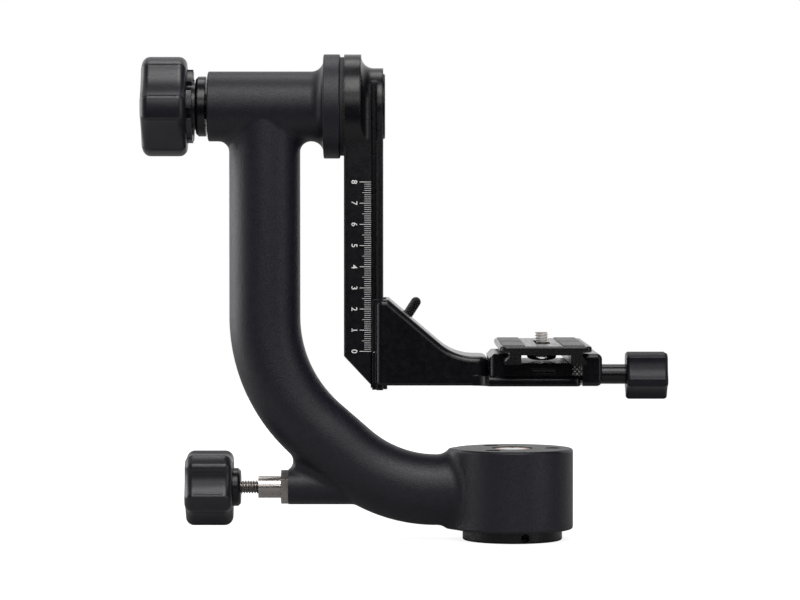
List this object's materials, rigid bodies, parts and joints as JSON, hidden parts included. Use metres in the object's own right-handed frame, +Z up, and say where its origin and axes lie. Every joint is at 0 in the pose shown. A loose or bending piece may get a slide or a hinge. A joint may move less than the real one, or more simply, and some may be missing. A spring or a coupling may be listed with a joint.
{
  "type": "gimbal tripod head",
  "caption": "Gimbal head: pan base, curved cast arm, tilting swing arm with a sliding platform, quick-release clamp and camera plate, lock knobs.",
  "frame": {"origin": "centre of the face that rests on the tripod, at the mouth of the tripod thread", "axes": "+Z up along the pan axis, +X along the tilt axis from the tilt knob towards the camera plate, +Y across, away from the ruler's side"},
  "size_m": [0.25, 0.1, 0.2315],
  "materials": {
    "cast_black": "fine textured satin powder coat",
    "anodised_black": "smooth semi-gloss black anodised",
    "knob_black": "satin moulded",
    "stainless": "turned, bright",
    "dark_steel": "black oxide",
    "bronze": "turned",
    "brass": "turned",
    "bearing_steel": "ground",
    "bare_aluminium": "machined",
    "washer_grey": "matte",
    "pad_rubber": "matte ribbed"
  },
  "bodies": {
    "base": {"pan_plate": "anodised_black", "plate_grub_screw": "dark_steel", "spindle": "bearing_steel", "nut_washer": "bronze", "spindle_nut": "bronze", "thrust_lower_race": "bearing_steel"},
    "thrust_cage": {"thrust_cage": "bearing_steel", "thrust_needles": "bearing_steel"},
    "arm": {"arm_casting": "cast_black", "thrust_upper_race": "bearing_steel", "bearing_carrier": "bare_aluminium", "pan_bush_lower": "bronze", "pan_bush_upper": "bronze", "carrier_screws": "dark_steel", "pan_lock_bushing": "stainless", "rear_bearing_outer_ring": "bearing_steel", "front_bearing_outer_ring": "bearing_steel"},
    "pan_lock_rod": {"pan_lock_push_rod": "bearing_steel", "pan_lock_shoe": "brass"},
    "pan_lock_knob": {"pan_lock_knob": "knob_black", "pan_lock_hub": "knob_black", "pan_lock_stem": "stainless"},
    "bearing_balls": {"rear_bearing_balls": "bearing_steel", "front_bearing_balls": "bearing_steel"},
    "swing_arm": {"swing_arm": "anodised_black", "friction_washer": "washer_grey", "tilt_axle": "dark_steel", "rear_bearing_inner_ring": "bearing_steel", "front_bearing_inner_ring": "bearing_steel", "bearing_spacer": "bare_aluminium", "axle_spacer_ring": "bare_aluminium", "axle_screw": "dark_steel", "axle_end_cap": "anodised_black", "rail_stop_screw": "dark_steel"},
    "tilt_lock_collar": {"pressure_collar": "anodised_black"},
    "tilt_lock_knob": {"tilt_knob": "knob_black", "tilt_knob_insert": "brass"},
    "platform": {"platform_bracket": "anodised_black", "rail_jaw_dowels": "dark_steel", "clamp_body": "anodised_black", "clamp_bolts": "dark_steel", "jaw_guide_pins": "dark_steel"},
    "rail_jaw": {"rail_jaw": "anodised_black"},
    "height_lever": {"height_lever": "dark_steel", "height_lever_screw": "dark_steel"},
    "moving_jaw": {"moving_jaw": "anodised_black"},
    "clamp_knob": {"clamp_knob": "knob_black", "clamp_collar": "anodised_black", "clamp_screw": "dark_steel"},
    "camera_plate": {"camera_plate": "anodised_black", "rubber_pads": "pad_rubber", "safety_screws": "dark_steel"},
    "camera_screw_washer": {"camera_screw_washer": "stainless"},
    "camera_screw": {"camera_screw": "stainless"},
    "camera_screw_ring": {"camera_screw_ring": "stainless"}
  },
  "joints": [
    {"name": "pan", "type": "hinge", "parent": "base", "child": "arm", "pos_m": [0, 0, 0], "axis": [0, 0, 1], "continuous": true},
    {"name": "thrust_cage_turn", "type": "hinge", "parent": "base", "child": "thrust_cage", "pos_m": [0, 0, 0], "axis": [0, 0, 1], "continuous": true},
    {"name": "pan_lock_slide", "type": "slide", "parent": "arm", "child": "pan_lock_rod", "axis": [1, 0, 0], "range_m": [-0.00254, 0.00042]},
    {"name": "pan_lock_turn", "type": "hinge", "parent": "pan_lock_rod", "child": "pan_lock_knob", "pos_m": [-0.14, 0, 0.0251], "axis": [1, 0, 0], "range_deg": [-800, 160]},
    {"name": "tilt", "type": "hinge", "parent": "arm", "child": "swing_arm", "pos_m": [0, 0, 0.2067], "axis": [1, 0, 0], "continuous": true},
    {"name": "ball_set_turn", "type": "hinge", "parent": "arm", "child": "bearing_balls", "pos_m": [0, 0, 0.2067], "axis": [1, 0, 0], "continuous": true},
    {"name": "tilt_lock_slide", "type": "slide", "parent": "swing_arm", "child": "tilt_lock_collar", "axis": [1, 0, 0], "range_m": [-0.00125, 0.0009]},
    {"name": "tilt_lock_turn", "type": "hinge", "parent": "tilt_lock_collar", "child": "tilt_lock_knob", "pos_m": [-0.16, 0, 0.2067], "axis": [1, 0, 0], "range_deg": [-400, 290]},
    {"name": "platform_height", "type": "slide", "parent": "swing_arm", "child": "platform", "axis": [0, 0, 1], "range_m": [0, 0.08]},
    {"name": "rail_jaw_slide", "type": "slide", "parent": "platform", "child": "rail_jaw", "axis": [0, -1, 0], "range_m": [-0.00025, 0.00025]},
    {"name": "height_lever_turn", "type": "hinge", "parent": "rail_jaw", "child": "height_lever", "pos_m": [-0.0559, 0.0258, 0.0976], "axis": [0, -1, 0], "range_deg": [-105, 105]},
    {"name": "clamp_jaw_slide", "type": "slide", "parent": "platform", "child": "moving_jaw", "axis": [-1, 0, 0], "range_m": [-0.004, 0.0005]},
    {"name": "clamp_knob_turn", "type": "hinge", "parent": "moving_jaw", "child": "clamp_knob", "pos_m": [0.05, 0, 0.0791], "axis": [-1, 0, 0], "range_deg": [-1580, 240]},
    {"name": "camera_plate_slide", "type": "slide", "parent": "platform", "child": "camera_plate", "axis": [0, 1, 0], "range_m": [-0.014, 0.014]},
    {"name": "camera_screw_slide", "type": "slide", "parent": "camera_plate", "child": "camera_screw_washer", "axis": [0, 1, 0], "range_m": [-0.015, 0.015]},
    {"name": "camera_screw_turn", "type": "hinge", "parent": "camera_screw_washer", "child": "camera_screw", "pos_m": [0.0139, 0, 0.095], "axis": [0, 0, 1], "continuous": true},
    {"name": "camera_screw_ring_swing", "type": "hinge", "parent": "camera_screw", "child": "camera_screw_ring", "pos_m": [0.0139, 0, 0.08775], "axis": [1, 0, 0], "range_deg": [-10, 1]}
  ],
  "couplings": [
    {"joint": "thrust_cage_turn", "follows": "pan", "ratio": 0.5},
    {"joint": "ball_set_turn", "follows": "tilt", "ratio": 0.44},
    {"joint": "pan_lock_turn", "follows": "pan_lock_slide", "rad_per_m": 4947.4},
    {"joint": "tilt_lock_turn", "follows": "tilt_lock_slide", "rad_per_m": 5026.5},
    {"joint": "height_lever_turn", "follows": "rail_jaw_slide", "rad_per_m": 6283.2},
    {"joint": "clamp_knob_turn", "follows": "clamp_jaw_slide", "rad_per_m": 6283.2}
  ]
}
